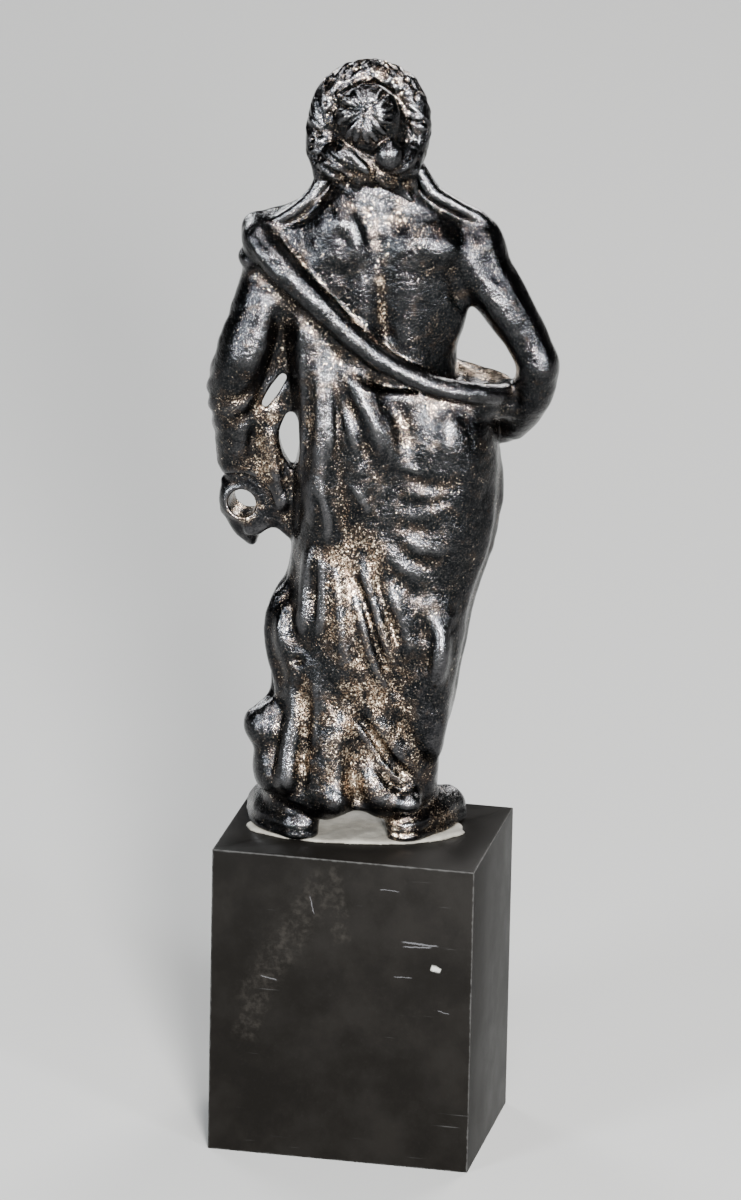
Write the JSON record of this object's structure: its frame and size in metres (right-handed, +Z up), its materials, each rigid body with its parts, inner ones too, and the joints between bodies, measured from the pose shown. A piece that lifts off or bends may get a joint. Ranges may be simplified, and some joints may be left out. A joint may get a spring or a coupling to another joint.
{
  "type": "bronze statuette",
  "caption": "Standing draped figure in dark cast bronze, one hand on its hip and the other fist pierced for a staff, pinned to a tall black stone block.",
  "frame": {"origin": "centre of the plinth's underside", "axes": "+Z up, plinth square to X and Y with its 40 mm side along X, the figure facing -Y and turned 11.5 degrees about Z on its plinth"},
  "size_m": [0.0516, 0.03, 0.1678],
  "materials": {
    "plinth_stone": "honed black stone, satin, with worn paler edges",
    "bedding_putty": "dry grey-beige putty",
    "pin_steel": "plain drawn steel",
    "cloth_bronze": "near-black glossy patina, tan metal showing in the hollows of the folds",
    "skin_bronze": "near-black glossy patina, finely pitted",
    "hair_bronze": "near-black glossy patina, brown in the hollows"
  },
  "bodies": {
    "root": {"plinth": "plinth_stone", "mounting_putty": "bedding_putty", "left_foot_pin": "pin_steel", "right_foot_pin": "pin_steel", "left_foot": "cloth_bronze", "right_foot": "cloth_bronze", "himation": "cloth_bronze", "shoulder_drape": "cloth_bronze", "back_roll": "cloth_bronze", "front_roll": "cloth_bronze", "left_arm": "cloth_bronze", "hand_drape": "cloth_bronze", "torso": "skin_bronze", "right_arm": "skin_bronze", "right_hand": "skin_bronze", "left_hand": "skin_bronze", "head": "skin_bronze", "hair_crown": "hair_bronze", "hair_roll": "hair_bronze", "nape_locks": "hair_bronze", "left_ribbon": "hair_bronze", "right_ribbon": "hair_bronze"}
  },
  "joints": []
}
